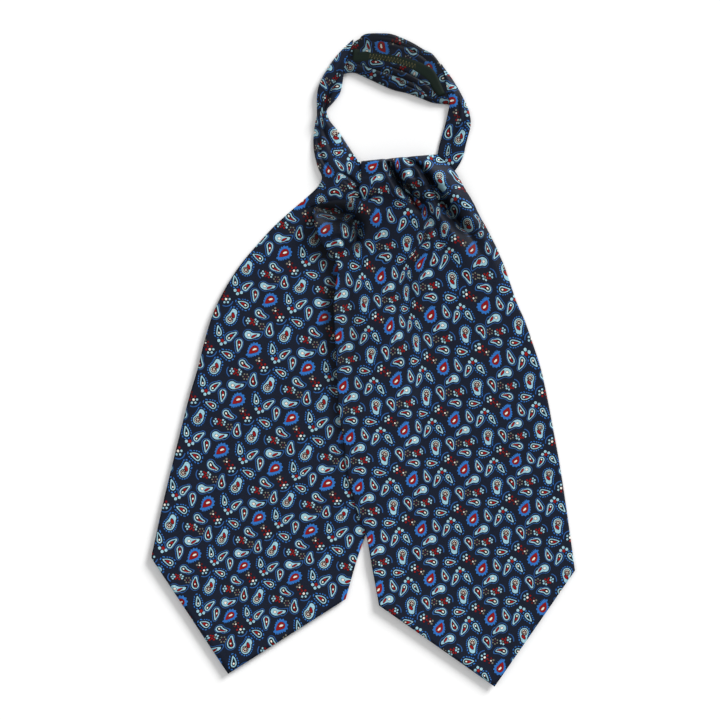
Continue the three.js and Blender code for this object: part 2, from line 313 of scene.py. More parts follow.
def cloth_point(row, v, rest, folds):
    """Where a point of the cloth is, how folds shift its print, and its shade. v runs from left to right."""
    span = math.hypot(row["rx"] - row["lx"], row["ry"] - row["ly"])
    ax, ay = (row["rx"] - row["lx"]) / span, (row["ry"] - row["ly"]) / span
    push = row.get("point", 0) * (1 - abs(2 * v - 1)) + row.get("bow", 0) * 4 * v * (1 - v)
    x = lerp(row["lx"], row["rx"], v) + ay * push
    y = lerp(row["ly"], row["ry"], v) - ax * push
    edge = row.get("left", 0) if v < 0.5 else row.get("right", 0)
    lift = lerp(edge, row.get("mid", 0), 1 - abs(2 * v - 1) ** SHOULDER)
    for side, roll in ((v, row.get("roll_l", 0)), (1 - v, row.get("roll_r", 0))):
        if roll:
            lift -= roll * math.exp(-((side * span / ROLL_WIDTH) ** 2) * 2)
    shift_x = shift_y = gloom = 0.0
    for line in folds:
        raised, sx, sy, deep = fold_effect(line, x, y)
        lift += raised
        gloom = max(gloom, deep)
        shift_x += sx
        shift_y += sy
    inside = min(v, 1 - v) * span
    dip = EDGE_DIP * (1 - ease(inside / EDGE_WIDTH))
    place = Vector((x, y, max(rest(x, y) + max(lift, DEEPEST) - dip, LOWEST)))
    return place, Vector((shift_x, shift_y)), gloom


def print_drift(places, x, y, reach, weight):
    """How far the print is from its even lattice here, because the cloth is gathered or pulled."""
    total_x = total_y = 0.0
    for px, py, dx, dy in places:
        near = math.exp(-((x - px) ** 2 + (y - py) ** 2) / reach**2)
        total_x += dx * near
        total_y += dy * near
        weight += near
    return Vector((total_x / weight, total_y / weight))


def pulls_of(pins, points, places):
    """How far the print under each pin still is from the pinned motif, on the upper side of the cloth."""
    pulls = []
    for pin_x, pin_y, flat, turn, narrow in pins:
        nearest = min(
            ((i, j) for i in range(len(points)) for j in range(len(points[i]))),
            key=lambda k: math.hypot(points[k[0]][k[1]].x - pin_x, points[k[0]][k[1]].y - pin_y)
            - UPPER_SIDE * points[k[0]][k[1]].z,
        )
        short = flat - places[nearest[0]][nearest[1]]
        pulls.append((pin_x, pin_y, short.x, short.y))
    return pulls


def pinned_place(pins, x, y, place):
    """The print's place where motifs are pinned one by one, each turned and narrowed as it looks there."""
    total, weight = place * PIN_REST, PIN_REST
    for pin_x, pin_y, flat, turn, narrow in pins:
        near = math.exp(-((x - pin_x) ** 2 + (y - pin_y) ** 2) / PIN_REACH**2)
        if near > PIN_FADED:
            off = Vector(((x - pin_x) / narrow, y - pin_y))
            off.rotate(Matrix.Rotation(math.radians(turn), 2))
            total += near * (flat + off)
            weight += near
    return total / weight


def flat_positions(points):
    """Each vertex's place on the flat cloth: the plan at the last row, then measured back over the cloth."""
    flat = [None] * len(points)
    flat[-1] = [Vector((p.x, p.y)) for p in points[-1]]
    heading = [Vector((0, 1))] * len(points[0])
    for i in range(len(points) - 2, -1, -1):
        line = []
        for j, p in enumerate(points[i]):
            step = p - points[i + 1][j]
            plan = Vector((step.x, step.y))
            if plan.length > 0.5 * step.length and heading[j].dot(plan) > 0:
                heading[j] = plan.normalized()
            line.append(flat[i + 1][j] + heading[j] * step.length)
        flat[i] = line
    return flat


def add_cloth(name, rows, across, step, wall, rest, print_map, folds=(), drift=(), pins=(),
              fine_step=0, fine_rows=0, darkest_fold=8.0):
    """Builds one stretch of cloth as a grid whose vertices are moved onto its surface."""
    shape = Rows(rows)
    places = shape.places(step, fine_step, fine_rows)
    lines = [fold_path(f) for f in folds]
    points, shifts, shades = [], [], []
    for place in places:
        row = shape.at(place)
        found = [cloth_point(row, j / across, rest, lines) for j in range(across + 1)]
        points.append([p for p, _, _ in found])
        shifts.append([s for _, s, _ in found])
        shades.append([min(1.0, g / darkest_fold) for _, _, g in found])
    flat = flat_positions(points)
    placed = [
        [
            place + shift + print_drift(drift, p.x, p.y, DRIFT_REACH, DRIFT_REST)
            for place, shift, p in zip(*line)
        ]
        for line in zip(flat, shifts, points)
    ]
    pulls = pulls_of(pins, points, placed)

    bm = bmesh.new()
    bmesh.ops.create_grid(bm, x_segments=across, y_segments=len(places) - 1, size=0.5)
    uv_layer = bm.loops.layers.uv.new("print")
    thin = bm.verts.layers.deform.new()
    # How deep each vertex lies in a fold, for the shade that the silk paints into its colour.
    shade_layer = bm.verts.layers.float.new("fold shade")
    cell = {}
    for vert in bm.verts:
        j = round((vert.co.x + 0.5) * across)
        i = round((0.5 - vert.co.y) * (len(places) - 1))
        cell[vert.index] = (i, j)
        vert.co = points[i][j] * MM
        edge = min(
            (points[i][j] - points[i][0]).length, (points[i][j] - points[i][-1]).length,
            (points[i][j] - points[-1][j]).length,
        )
        vert[thin][0] = lerp(EDGE_SHARE, 1.0, ease(edge / EDGE_WIDTH))
        vert[shade_layer] = shades[i][j]
    for face in bm.faces:
        face.smooth = True
        for loop in face.loops:
            i, j = cell[loop.vert.index]
            x, y = points[i][j].x, points[i][j].y
            place = placed[i][j] + print_drift(pulls, x, y, PULL_REACH, PULL_REST)
            loop[uv_layer].uv = print_map(pinned_place(pins, x, y, place))
    piece = add_mesh(name, bm)
    piece.vertex_groups.new(name="thickness")
    solid = piece.modifiers.new("cloth thickness", "SOLIDIFY")
    solid.thickness = wall * MM
    solid.offset = -1
    solid.vertex_group = "thickness"
    solid.thickness_vertex_group = 0.0
    faces = piece.data.polygons
    area = sum(face.area for face in faces) / (10 * MM) ** 2
    print(name, "has", len(faces), "faces in one layer and", round(area, 1), "square cm")
    return piece


# %% [markdown]
# ## The paisley print
# The print is one small repeat of bean shapes, bursts and tiny flowers in two blues, red and ivory on navy.
# Every motif is drawn by formula inside a cell of the repeat: a drop with a round end and a tip, in rings,
# or a ring of petals. A formula has no pixels, so the print stays sharp from any distance. The chart below
# says where each motif sits in the cell, and which way it points.

# %% Print colours and repeat
REPEAT_ACROSS = 45.0
REPEAT_UP = 42.0


def paint(red, green, blue):
    """A colour given in screen values, turned into the linear values that the shader wants."""

    def linear(value):
        value /= 255
        return value / 12.92 if value <= 0.04045 else ((value + 0.055) / 1.055) ** 2.4

    return (linear(red), linear(green), linear(blue), 1.0)


NAVY = paint(12, 21, 38)
NIGHT = paint(5, 6, 16)
BLUE = paint(42, 104, 176)
DEEP_BLUE = paint(38, 86, 146)
ICE = paint(144, 186, 201)
RED = paint(130, 8, 10)
DARK_RED = paint(92, 10, 10)
IVORY = paint(224, 216, 204)
SAND = paint(112, 110, 100)
GREEN = paint(14, 26, 20)
GOLD = paint(96, 88, 56)


class Wires:
    """Adds nodes to a tree and joins them."""

    def __init__(self, tree):
        self.tree = tree

    def node(self, kind, **settings):
        made = self.tree.nodes.new(kind)
        for name, value in settings.items():
            setattr(made, name, value)
        return made

    def join(self, value, socket):
        if isinstance(value, bpy.types.NodeSocket):
            self.tree.links.new(value, socket)
        elif value is not None:
            socket.default_value = value

    def math(self, operation, *values):
        made = self.node("ShaderNodeMath", operation=operation)
        for value, socket in zip(values, made.inputs):
            self.join(value, socket)
        return made.outputs[0]

    def times(self, a, b):
        return self.math("MULTIPLY", a, b)

    def plus(self, a, b):
        return self.math("ADD", a, b)

    def minus(self, a, b):
        return self.math("SUBTRACT", a, b)

    def over(self, a, b):
        return self.math("DIVIDE", a, b)

    def scaled(self, a, b, c):
        """a times b, plus c."""
        return self.math("MULTIPLY_ADD", a, b, c)

    def below(self, a, b):
        """1 where a is less than b, 0 elsewhere."""
        return self.math("LESS_THAN", a, b)

    def squares(self, a, b):
        """The sum of two squares."""
        return self.plus(self.times(a, a), self.times(b, b))

    def parts(self, vector):
        """The x, y and z of a vector."""
        made = self.node("ShaderNodeSeparateXYZ")
        self.join(vector, made.inputs[0])
        return made.outputs

    def layer(self, mask, under, over):
        """over where the mask is 1, under elsewhere."""
        made = self.node("ShaderNodeMix", data_type="RGBA")
        self.join(mask, made.inputs["Factor"])
        self.join(under, made.inputs[6])
        self.join(over, made.inputs[7])
        return made.outputs[2]


def new_group(name, numbers, colours):
    """A node group with a place in repeats, numbers and colours coming in, and a colour going out."""
    group = bpy.data.node_groups.new(name, "ShaderNodeTree")
    for kind, sockets in (("Vector", ("Repeat",)), ("Float", numbers), ("Color", colours)):
        for socket in sockets:
            group.interface.new_socket(socket, in_out="INPUT", socket_type="NodeSocket" + kind)
    group.interface.new_socket("Colour", in_out="OUTPUT", socket_type="NodeSocketColor")
    wires = Wires(group)
    return group, wires, wires.node("NodeGroupInput").outputs, wires.node("NodeGroupOutput").inputs[0]


def place_in_cell(wires, given):
    """Millimetres from the motif's own centre, wrapped to the nearest repeat and turned to its direction."""
    repeats = wires.parts(given["Repeat"])
    ends = []
    for axis, name, size in ((0, "Across", REPEAT_ACROSS), (1, "Up", REPEAT_UP)):
        away = wires.minus(repeats[axis], wires.over(given[name], size))
        wrapped = wires.minus(away, wires.math("ROUND", away))
        ends.append(wires.times(wrapped, size))
    joined = wires.node("ShaderNodeCombineXYZ")
    wires.join(ends[0], joined.inputs[0])
    wires.join(ends[1], joined.inputs[1])
    turned = wires.node("ShaderNodeVectorRotate", rotation_type="Z_AXIS")
    wires.join(joined.outputs[0], turned.inputs["Vector"])
    back = wires.times(wires.math("RADIANS", given["Turn"]), -1.0)
    wires.join(back, turned.inputs["Angle"])
    x, y, _ = wires.parts(turned.outputs[0])
    return x, y


# %% The drop motif
DROP_NUMBERS = (
    "Across", "Up", "Turn", "Length", "Fat", "Tip", "Bend", "Scallop", "Wall", "Heart",
    "Halo", "Halo Width", "Halo Lean", "Halo Count", "Red At", "Red Long", "Red Wide", "Dot At", "Dot Long",
    "Dot Wide",
)
DROP_COLOURS = ("Wall Colour", "Inside Colour", "Halo Colour")

# Where the waves of a drop turn about, how much of a halo is left out, and how wide the dark rims are.
DROP_MIDDLE = 0.35
HALO_GAP = -0.15
DARK_RIM = 0.45
SPOT_RIM = 1.7


def make_drop_group():
    group, w, given, out = new_group("paisley drop", DROP_NUMBERS, ("Colour", *DROP_COLOURS))
    x, y = place_in_cell(w, given)
    share = w.over(x, given["Length"])
    share = w.math("MINIMUM", w.math("MAXIMUM", share, 0.0), 1.0)
    spine = w.times(share, given["Length"])
    bent = w.minus(y, w.times(given["Bend"], w.times(share, share)))
    slope = w.over(w.times(w.times(given["Bend"], 2.0), share), given["Length"])
    slant = w.math("SQRT", w.scaled(slope, slope, 1.0))
    bent = w.over(bent, slant)
    along = w.minus(x, spine)
    away = w.math("SQRT", w.squares(along, bent))
    slimmer = w.math("POWER", share, 2.0)
    girth = w.scaled(w.minus(given["Tip"], given["Fat"]), slimmer, given["Fat"])
    distance = w.minus(away, girth)
    centred = w.minus(x, w.times(given["Length"], DROP_MIDDLE))
    around = w.math("ARCTAN2", bent, centred)
    wave = w.math("SINE", w.times(around, given["Halo Count"]))
    edge = w.scaled(wave, given["Scallop"], distance)

    colour = given["Colour"]
    leaning = w.scaled(bent, given["Halo Lean"], distance)
    band = w.math("COMPARE", leaning, given["Halo"], given["Halo Width"])
    halo = w.times(band, w.math("GREATER_THAN", wave, HALO_GAP))
    colour = w.layer(halo, colour, given["Halo Colour"])
    colour = w.layer(w.below(edge, DARK_RIM), colour, NIGHT)
    colour = w.layer(w.below(edge, 0.0), colour, given["Wall Colour"])
    inside = w.below(distance, w.times(given["Wall"], -1.0))
    colour = w.layer(inside, colour, given["Inside Colour"])
    heart = w.below(distance, w.times(given["Heart"], -1.0))
    colour = w.layer(heart, colour, RED)
    for spot, spot_colour in (("Red", RED), ("Dot", IVORY)):
        far = w.over(w.minus(x, given[spot + " At"]), given[spot + " Long"])
        wide = w.over(bent, given[spot + " Wide"])
        size = w.squares(far, wide)
        colour = w.layer(w.below(size, SPOT_RIM), colour, NIGHT)
        colour = w.layer(w.below(size, 1.0), colour, spot_colour)
    w.join(colour, out)
    return group


# %% The flower motif
FLOWER_NUMBERS = (
    "Across", "Up", "Turn", "Petals", "Reach", "Petal", "Second Turn", "Second Share", "Centre",
    "Arc", "Arc Turn", "Arc Share",
)
FLOWER_COLOURS = ("Petal Colour", "Second Colour", "Centre Colour")
FULL_TURN = 2 * math.pi
ARC_WIDTH = 0.38
PETAL_RIM = 0.3


def make_flower_group():
    group, w, given, out = new_group("petal ring", FLOWER_NUMBERS, ("Colour", *FLOWER_COLOURS))
    x, y = place_in_cell(w, given)
    away = w.math("SQRT", w.squares(x, y))
    around = w.math("ARCTAN2", y, x)
    sector = w.over(FULL_TURN, given["Petals"])
    nearest = w.math("ROUND", w.over(around, sector))
    folded = w.minus(around, w.times(nearest, sector))
    out_x = w.minus(w.times(away, w.math("COSINE", folded)), given["Reach"])
    out_y = w.times(away, w.math("SINE", folded))
    petal_away = w.math("SQRT", w.squares(out_x, out_y))

    colour = given["Colour"]
    petal_side = w.times(nearest, sector)

    def facing(angle, share, direction):
        turned = w.minus(direction, w.math("RADIANS", angle))
        return w.math("GREATER_THAN", w.math("COSINE", turned), share)

    arc_band = w.math("COMPARE", away, given["Arc"], ARC_WIDTH)
    arc = w.times(arc_band, facing(given["Arc Turn"], given["Arc Share"], around))
    colour = w.layer(arc, colour, DEEP_BLUE)
    petals = w.below(petal_away, given["Petal"])
    rim = w.below(petal_away, w.plus(given["Petal"], PETAL_RIM))
    colour = w.layer(rim, colour, NIGHT)
    second = facing(given["Second Turn"], given["Second Share"], petal_side)
    petal_colour = w.layer(second, given["Petal Colour"], given["Second Colour"])
    colour = w.layer(petals, colour, petal_colour)
    colour = w.layer(w.below(away, given["Centre"]), colour, given["Centre Colour"])
    w.join(colour, out)
    return group


# %% Chart of one repeat
drop_group = make_drop_group()
flower_group = make_flower_group()

# A size too small to show, a distance too far to reach, and what keeps an arc or a second colour away.
NONE = 0.01
FAR = 50.0
NEVER = 2
NO_ARC = (FAR, 0, NEVER)

# Styles that several drops share.
RINGED = {
    "Wall": 0.9, "Heart": FAR, "Scallop": 0, "Halo": 0.9, "Halo Width": 0.25, "Halo Lean": 0.0,
    "Halo Count": 0, "Dot Long": 0.75, "Dot Wide": 0.65,
    "Wall Colour": ICE, "Inside Colour": NIGHT, "Halo Colour": DEEP_BLUE,
}
DOTTED = {**RINGED, "Halo": 1.6, "Halo Width": 0.42, "Halo Count": 13, "Halo Colour": BLUE}

# Each drop has a name, a style, its place in the repeat (Across, Up), Turn, Length, Fat, Tip and Bend, then
# Red At, Red Long, Red Wide and Dot At, and last what is special about it.
DROP_COLUMNS = DROP_NUMBERS[:7] + ("Red At", "Red Long", "Red Wide", "Dot At")
DROP_ROWS = [
    ("burst", RINGED, 0.2, 0.7, -148, 7.2, 5.1, 0.8, 3.4, 0, NONE, NONE, 0.35, {
        "Scallop": 0.5, "Wall": 2.1, "Heart": 2.35, "Halo": FAR, "Halo Count": 16, "Wall Colour": BLUE,
        "Dot Long": 1.75, "Dot Wide": 0.75,
    }),
    ("dotted drop", DOTTED, 14.1, 3.4, 104, 5.7, 2.15, 0.5, 1.2, 0, NONE, NONE, 0.4, {}),
    ("leaning bean", RINGED, 22.8, 2.4, 70, 6.6, 2.5, 0.8, -1.8, 2.6, 1.15, 1.05, 0.0, {"Halo Lean": -0.12}),
    ("upright bean", RINGED, 31.6, 1.7, -64, 6.6, 2.6, 0.6, -1.9, 1.5, 2.9, 0.75, 1.9, {"Halo Lean": 0.1}),
    ("haloed drop", DOTTED, 27.4, -10.8, 160, 6.3, 2.5, 0.45, 1.3, 2.2, 1.9, 0.95, 0.2, {
        "Wall": 0.75, "Dot Long": 0.85,
    }),
    ("kidney", DOTTED, 19.1, 16.8, 56, 6.3, 3.6, 2.0, 2.6, 3.7, 1.35, 1.5, -0.1, {
        "Wall": FAR, "Halo": 1.25, "Halo Width": 0.45, "Halo Count": 21, "Dot Long": 2.1, "Dot Wide": 2.1,
    }),
    ("tall bean", RINGED, 7.2, 16.9, 132, 5.8, 3.0, 0.8, -3.0, 1.3, 2.9, 0.85, 1.0, {
        "Dot Long": 0.65, "Dot Wide": 0.6, "Halo Lean": -0.1,
    }),
    ("crescent", RINGED, -8.5, 9.9, -27, 6.2, 2.9, 0.8, 5.4, 4.0, 1.0, 1.1, 0.7, {
        "Wall": FAR, "Halo": 1.2, "Halo Width": 0.22, "Dot Long": 1.1, "Dot Wide": 1.0,
    }),
    ("slanted bean", RINGED, -6.1, 29.0, -56, 4.8, 2.7, 0.9, 3.6, 2.9, 1.8, 0.65, 0.2, {
        "Dot Long": 0.95, "Halo Lean": -0.12,
    }),
]
DROPS = {
    name: {**style, **dict(zip(DROP_COLUMNS, numbers)), **special}
    for name, style, *numbers, special in DROP_ROWS
}


def flowers_of(rows):
    """A name for each row, with the numbers and colours in the order of the flower group."""
    return {name: dict(zip(FLOWER_NUMBERS + FLOWER_COLOURS, values)) for name, *values in rows}


FLOWERS = flowers_of([
    ("berry flower", 11.1, -11.1, 20, 6, 2.8, 0.85, 120, 0.1, 0.95, 5.6, -70, 0.62, ICE, RED, IVORY),
    ("grey flower", 6.3, -7.3, 40, 5, 2.2, 0.8, -75, 0.2, 0.65, *NO_ARC, SAND, DARK_RED, IVORY),
    ("crown", 18.4, -1.3, -90, 5, 2.8, 1.2, 180, 0.2, 1.3, *NO_ARC, ICE, NAVY, RED),
    ("left berries", -11.0, 20.4, 12, 6, 2.15, 0.75, 0, 0.3, 0.85, 5.0, 192, 0.66, ICE, RED, ICE),
    ("right berries", -6.6, 21.0, 30, 6, 2.1, 0.8, 180, 0.3, 0.7, *NO_ARC, ICE, RED, SAND),
    ("tiny flower", -0.1, 19.5, 15, 6, 2.2, 0.6, 0, NEVER, 0.5, *NO_ARC, SAND, SAND, DARK_RED),
])

# Drawn last, over the kidney.
SEEDS = flowers_of([
    ("seeds in the kidney", 19.1, 16.9, 0, 7, 1.35, 0.36, 0, NEVER, 0.45, *NO_ARC, DARK_RED, DARK_RED, SAND),
])


def make_print_group():
    """One group that turns a place on the cloth, in repeats, into the colour of the print."""
    group, w, given, out = new_group("paisley print", (), ())
    colour = NAVY
    for motif_group, motifs in ((flower_group, FLOWERS), (drop_group, DROPS), (flower_group, SEEDS)):
        for name, settings in motifs.items():
            motif = w.node("ShaderNodeGroup", node_tree=motif_group, label=name)
            w.join(colour, motif.inputs["Colour"])
            w.join(given["Repeat"], motif.inputs["Repeat"])
            for key, value in settings.items():
                motif.inputs[key].default_value = value
            colour = motif.outputs["Colour"]
    w.join(colour, out)
    return group


print_group = make_print_group()
print("motifs in one repeat:", len(DROPS) + len(FLOWERS))

# %% [markdown]
# ## Where the print lies
# On flat cloth the repeats make an even lattice. Each stretch of cloth has a lattice of its own, which
# turns a place in millimetres into repeats. Near the knot, where folds swallow part of the print, single
# motifs are pinned one by one.

# %% Lattice and pins
CHART = {**DROPS, **FLOWERS}


class Lattice:
    """The print's even lattice on flat cloth: one burst's place and the repeat's two directions, in mm."""

    def __init__(self, origin, across, up):
        self.origin, self.across, self.up = Vector(origin), Vector(across), Vector(up)
        self.size = self.across.x * self.up.y - self.across.y * self.up.x

    def __call__(self, place):
        """A flat place in repeats."""
        off = place - self.origin
        return (
            (off.x * self.up.y - off.y * self.up.x) / self.size,
            (self.across.x * off.y - self.across.y * off.x) / self.size,
        )

    def motif(self, name, column, row):
        """Where one motif of one repeat is on the flat cloth."""
        right = column + CHART[name]["Across"] / REPEAT_ACROSS
        higher = row + CHART[name]["Up"] / REPEAT_UP
        return self.origin + self.across * right + self.up * higher


def pins_on(lattice, chart):
    """For each pinned motif: x and y in the picture, its flat place, its turn and its narrowness."""
    return [
        (x, y, lattice.motif(name, column, row), turn, narrow)
        for name, spots in chart.items() for x, y, column, row, turn, narrow in spots
    ]


# %% [markdown]
# ## Printed silk
# Silk twill is woven in fine diagonal ribs, so it has a soft sheen and hardly any gloss. The print colours
# the cloth, a very fine diagonal bump stands for the ribs, and a faint wide unevenness in the roughness
# keeps the sheen from looking like plastic.

# %% Silk material
TWILL_RIBS_PER_REPEAT = 130
ROUGHNESS = 0.5
ROUGHNESS_SPREAD = 0.16
UNEVENNESS = 0.3
GRAIN = 1.1
GRAIN_FLOOR = 0.43
FOLD_DARKNESS = 0.74


def make_silk(name, brightness=1.0):
    material, shader = new_material(name, {
        "Specular IOR Level": 0.14, "Sheen Weight": 0.02, "Sheen Roughness": 0.4,
    })
    w = Wires(material.node_tree)

    def noise(scale, detail):
        made = w.node("ShaderNodeTexNoise")
        w.join(uv, made.inputs["Vector"])
        made.inputs["Scale"].default_value = scale
        made.inputs["Detail"].default_value = detail
        return made.outputs["Fac"]

    uv = w.node("ShaderNodeUVMap", uv_map="print").outputs[0]
    pattern = w.node("ShaderNodeGroup", node_tree=print_group)
    w.join(uv, pattern.inputs[0])
    soft = noise(scale=1.6, detail=3)
    shade = w.scaled(soft, UNEVENNESS * brightness, (1 - UNEVENNESS / 2) * brightness)
    shade = w.times(shade, w.scaled(noise(scale=40, detail=2), GRAIN, GRAIN_FLOOR))
    # Painted shade: the fold shade darkens the colour in folds, hollows and pleats, by up to FOLD_DARKNESS.
    fold_shade = w.node("ShaderNodeAttribute", attribute_name="fold shade").outputs["Fac"]
    shade = w.times(shade, w.scaled(fold_shade, -FOLD_DARKNESS, 1.0))
    tinted = w.node("ShaderNodeVectorMath", operation="SCALE")
    w.join(pattern.outputs[0], tinted.inputs[0])
    w.join(shade, tinted.inputs["Scale"])
    w.join(tinted.outputs[0], shader.inputs["Base Color"])
    rough = w.scaled(soft, ROUGHNESS_SPREAD, ROUGHNESS - ROUGHNESS_SPREAD / 2)
    w.join(rough, shader.inputs["Roughness"])
    right, up, _ = w.parts(uv)
    rib = w.math("SINE", w.times(w.plus(right, up), TWILL_RIBS_PER_REPEAT * FULL_TURN))
    bump = w.node("ShaderNodeBump")
    bump.inputs["Strength"].default_value = 0.12
    bump.inputs["Distance"].default_value = 0.00015
    w.join(rib, bump.inputs["Height"])
    w.join(bump.outputs[0], shader.inputs["Normal"])
    return material


silk = make_silk("printed silk")
# A darker copy of the same silk: painted shade on the back band and on the bundle inside the knot.
shaded_silk = make_silk("silk in painted shade", brightness=0.46)

# %% [markdown]
# ## The lower blade
# The lower blade is the end of the band that comes out from under the knot. It lies flat on the table, 159
# mm wide at the shoulders of its square point. Its rows are almost straight lines, and the last ones are
# pushed out to a corner.

# %% Lower blade
BLADE_WALL = 1.3
ON_TABLE = 1.5
ON_BLADE = 3.3

LOWER_BLADE = table_of("lx ly rx ry left mid right point", [
    (20, 145, 49, 139.5),
    (-6, 144.5, 37, 138.5),
    (-31.5, 142, 25.5, 139),
    (-41.5, 133.2, 29.5, 128),
    (-51, 125, 31, 116, 0.2),
    (-68.5, 109.5, 32.5, 100, 0.6),
    (-85.5, 91.2, 33.5, 78.5, 1),
    (-98.8, 75, 33.5, 56, 1.6),
    (-112, 53.8, 32, 32, 2.2),
    (-120, 36.8, 30.5, 12, 2.6),
    (-126.7, 15.4, 28, -9.5, 2.8),
    (-132, -6, 25.5, -30.5, 2.8),
    (-139.2, -30.4, 21.5, -56, 2.6),
    (-143.7, -48, 18.5, -76, 2.4),
    (-151.8, -80.8, 12.5, -102.5, 2.4, 0, 0, 6),
    (-159.3, -111.9, 3.5, -134.5, 2.6, 0, 0, 22),
    (-164.6, -136, -5.5, -161.5, 3, 1, 1, 46),
    (-169.3, -157.8, -13.9, -191, 3.4, 3, 2.4, 78),
])


def lower_blade_edge_x(y):
    rows = LOWER_BLADE
    for a, b in zip(rows, rows[1:]):
        if a["ry"] >= y >= b["ry"] and a["ry"] > b["ry"]:
            return lerp(a["rx"], b["rx"], (a["ry"] - y) / (a["ry"] - b["ry"]))
    return rows[0]["rx"] if y > rows[0]["ry"] else rows[-1]["rx"]


# Where the print is pulled off its lattice: x y and how far, in millimetres.
LOWER_DRIFT = [
    (-154, -123, -3.2, 4), (-154, -154, -5.2, 5.6), (-134, -144, -4, 4), (-134, -186, -6.4, 1.6),
    (-113, -144, -2.4, 0.8), (-113, -186, -4, -0.8), (-92, -186, -1.6, -4), (-92, -227, -4.8, -6.4),
    (-71, -165, 0.8, -4.8), (-71, -186, 0.8, -8), (-50, -144, 1.6, -4.8), (-50, -186, 1.6, -9.6),
    (-30, -144, 1.6, -6.4), (-30, -165, 1.6, -9.6), (-50, -123, 1.6, -3.2), (-30, -102, 0.8, -2.4),
    (-9, -144, 0.8, -8), (-92, -144, 0, -0.8), (-71, -206, -0.8, -9.6), (-134, -102, -1.6, 2.4),
    (-92, -104, 0, 0), (-113, -64, 0, 0), (-71, -80, 0, 0), (-50, -64, 0, 0), (-63, 88, 1.6, 3.2),
    (-50, 99, 2.4, 3.2),
]

# The shadow that the upper blade casts along this line is painted into the cloth; the fold barely lowers it.
LOWER_PAINTED_SHADOW = [
    [(-48, 124, 0, 3), (-41, 116, 5, 3.4), (-37.7, 102, 8, 3.6), (-33, 88, 8, 3.4), (-25, 74, 7, 3.2),
     (-25.7, 48, 6.5, 3.2), (-24, 8, 5, 3.2), (-21.7, -48, 3, 3), (-16, -96, 0, 3)],
]

lower_blade = add_cloth(
    "lower_blade", LOWER_BLADE, across=70, step=2.6, wall=BLADE_WALL, rest=lambda x, y: ON_TABLE,
    folds=LOWER_PAINTED_SHADOW, print_map=Lattice(origin=(-70.0, -86.6), across=(42.8, -14.5), up=(13.0, 40.15)),
    drift=LOWER_DRIFT,
)
lower_blade.data.materials.append(silk)
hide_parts("back_blade")
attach(lower_blade, "root")

# %% [markdown]
# ## The upper blade
# The upper blade is the part that people look at. It comes up from behind the knot, rolls over the top with
# a few deep gathers, and falls forward. Its left edge is lifted where it crosses the lower blade, and at
# its upper left the cloth turns up into a small rim round a shadowed hollow.

# %% Upper blade
UPPER_BLADE = table_of("lx ly rx ry left mid right roll_l roll_r point", [
    (3, 147, 46, 151),
    (2.5, 152, 51, 157),
    (0.5, 156.5, 56, 161.5, 1.2, 2, 0.8),
    (-1.2, 158.7, 58.8, 164.2, 6.5, 9, 3),
    (-1.7, 157.2, 62, 161, 10.5, 14.5, 4.8, 0.6),
    (-1.7, 153.5, 67, 157, 12, 17.5, 6, 1.4),
    (-1.7, 145.5, 73, 151, 12.8, 18.5, 6.8, 2, 1),
    (-3, 137, 78.5, 142, 12.4, 17.5, 6.8, 2, 2),
    (-3.3, 131.5, 83, 134, 10.5, 16.3, 6.6, 1.6, 2.4),
    (-3.8, 129.5, 85, 131, 6, 15.6, 6.4, 0.8, 2.6),
    (-10.5, 129.5, 87, 127.5, 2, 14.6, 6.2, 0, 2.8),
    (-20, 130, 89, 124, 1, 13.4, 6, 0, 3),
    (-30, 128.5, 91, 119.5, 3, 12, 5.6, 0, 3),
    (-37, 124, 92.5, 116.5, 6, 11, 5.3, 0, 3),
    (-40, 119, 94, 113.5, 8.5, 11, 5, 0, 3),
    (-39.3, 113.5, 97, 108.5, 9.5, 10, 4.6, 0, 3),
    (-37.5, 104, 102.5, 98, 9.5, 8.4, 4, 0, 2.8),
    (-34, 94.5, 107, 89, 8, 6.6, 3.4, 0, 2.5),
    (-28, 86.5, 109.7, 82.5, 6, 5.4, 3, 0, 2.2),
    (-20.5, 76.5, 112.5, 76, 4.6, 4.2, 2.6, 0, 2),
    (-22, 60, 117.5, 61.5, 5, 2.6, 1.6, 0, 1.4),
    (-23.5, 44, 123, 45.5, 6, 1.4, 0.8, 0, 0.8),
    (-23, 28, 129, 32, 6, 0.6),
    (-22, 12, 135, 15, 5, 0.2),
    (-21, -12, 141.5, -5, 3.6),
    (-19.5, -38.5, 147, -29, 2.4),
    (-15.5, -67, 151.5, -53, 0.6),
    (-11, -98.5, 156.3, -78.5, 0.2),
    (-5.5, -118.5, 159.3, -97, 0, 0, 0, 0, 0, 12),
    (1.3, -136, 162, -115, 0.4, 0, 0, 0, 0, 32),
    (7, -165, 165.7, -141.5, 2, 1, 0.4, 0, 0, 56),
    (12.7, -196, 169.3, -168.2, 3.6, 3.2, 1.6, 0, 0, 80),
])
STEP_START = 10
STEP_RUN = 12
LOWER_BLADE_TOP = 145


def upper_blade_rest(x, y):
    if y > LOWER_BLADE_TOP:
        return ON_TABLE
    on_blade = ease((lower_blade_edge_x(y) + STEP_START + STEP_RUN - x) / STEP_RUN)
    return lerp(ON_TABLE, ON_BLADE, on_blade)


